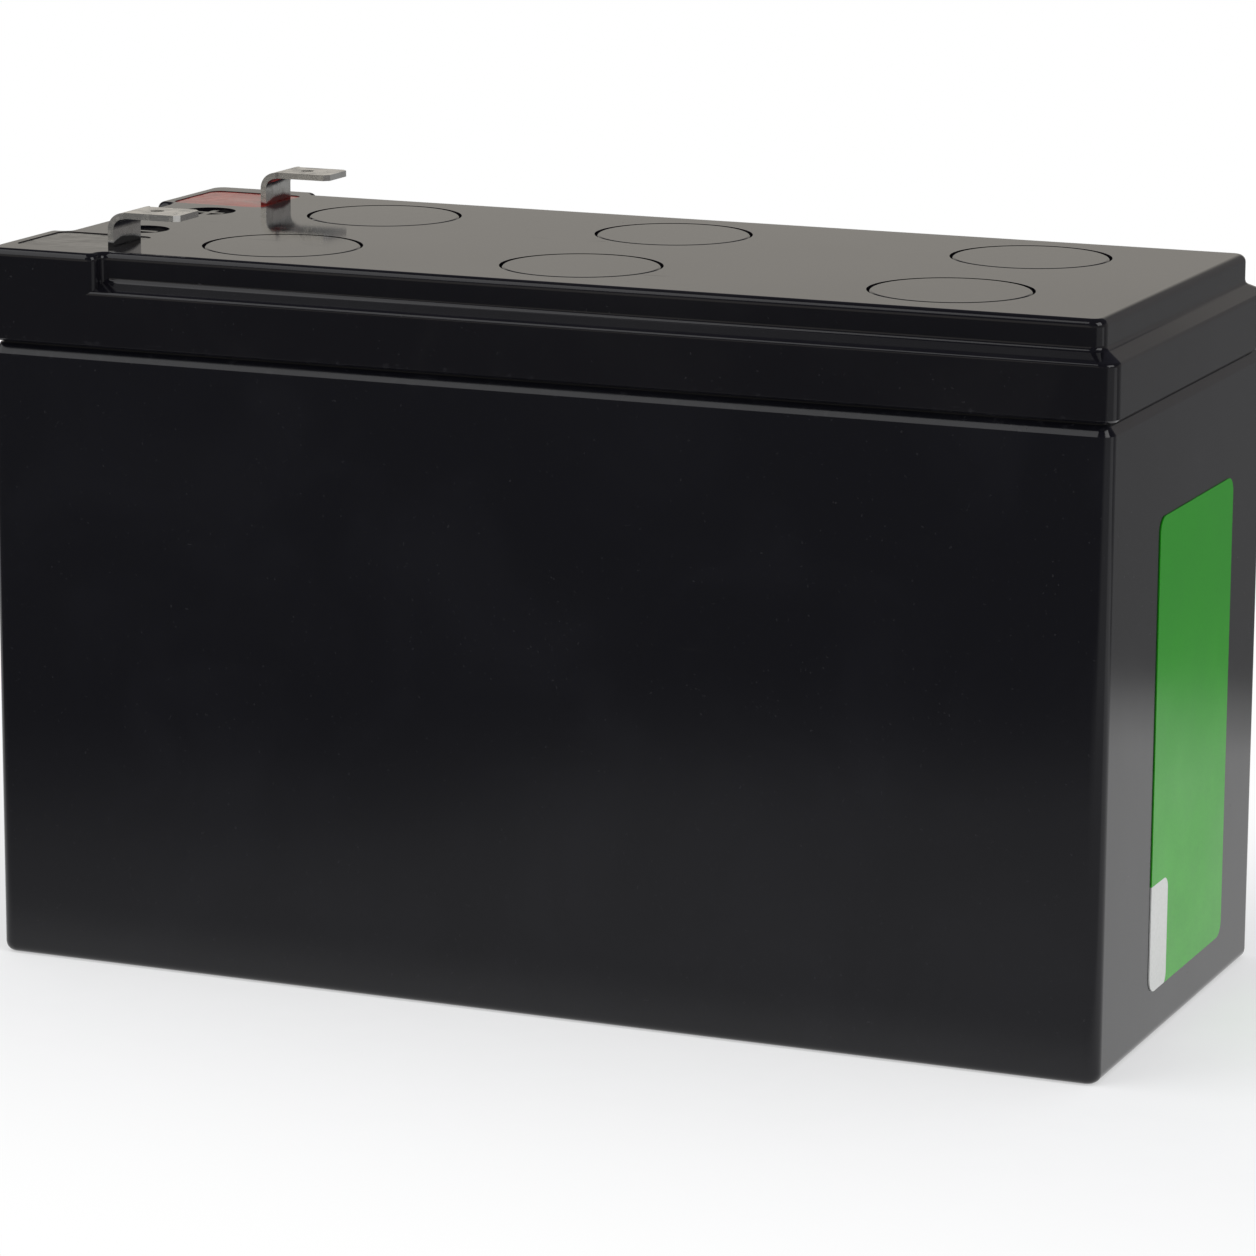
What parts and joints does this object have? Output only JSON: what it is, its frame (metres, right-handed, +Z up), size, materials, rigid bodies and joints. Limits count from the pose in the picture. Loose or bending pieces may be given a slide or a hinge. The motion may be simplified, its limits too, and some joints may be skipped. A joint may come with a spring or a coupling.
{
  "type": "sealed lead acid battery",
  "caption": "Black box-shaped 12 volt sealed lead acid battery with a stepped lid, round vent covers and bent blade terminals in red and black resin at one end.",
  "frame": {"origin": "centre of the base, on the surface that the battery stands on", "axes": "+Z up, +X along the length to the end with the label and away from the terminals, +Y across the width from the negative terminal to the positive one"},
  "size_m": [0.151, 0.065, 0.0974],
  "materials": {
    "case_plastic": "moulded, semi-gloss",
    "lid_plastic": "moulded, semi-gloss",
    "cover_plastic": "moulded, semi-gloss",
    "valve_rubber": "matt",
    "tinned_tab": "bright tin plating",
    "red_resin": "cast resin, glossy",
    "black_resin": "cast resin, glossy",
    "negative_plate": "grey spongy lead",
    "positive_plate": "dark brown lead oxide",
    "glass_mat": "felted glass fibre",
    "label": "printed film, blank"
  },
  "bodies": {
    "root": {"case": "case_plastic", "lid": "lid_plastic", "end_label": "label", "negative_terminal": "tinned_tab", "positive_terminal": "tinned_tab", "negative_seal": "black_resin", "positive_seal": "red_resin", "vent_cover_1": "cover_plastic", "vent_valve_1": "valve_rubber", "negative_plates_1": "negative_plate", "positive_plates_1": "positive_plate", "separators_1": "glass_mat", "vent_cover_2": "cover_plastic", "vent_valve_2": "valve_rubber", "negative_plates_2": "negative_plate", "positive_plates_2": "positive_plate", "separators_2": "glass_mat", "vent_cover_3": "cover_plastic", "vent_valve_3": "valve_rubber", "negative_plates_3": "negative_plate", "positive_plates_3": "positive_plate", "separators_3": "glass_mat", "vent_cover_4": "cover_plastic", "vent_valve_4": "valve_rubber", "negative_plates_4": "negative_plate", "positive_plates_4": "positive_plate", "separators_4": "glass_mat", "vent_cover_5": "cover_plastic", "vent_valve_5": "valve_rubber", "negative_plates_5": "negative_plate", "positive_plates_5": "positive_plate", "separators_5": "glass_mat", "vent_cover_6": "cover_plastic", "vent_valve_6": "valve_rubber", "negative_plates_6": "negative_plate", "positive_plates_6": "positive_plate", "separators_6": "glass_mat"}
  },
  "joints": []
}
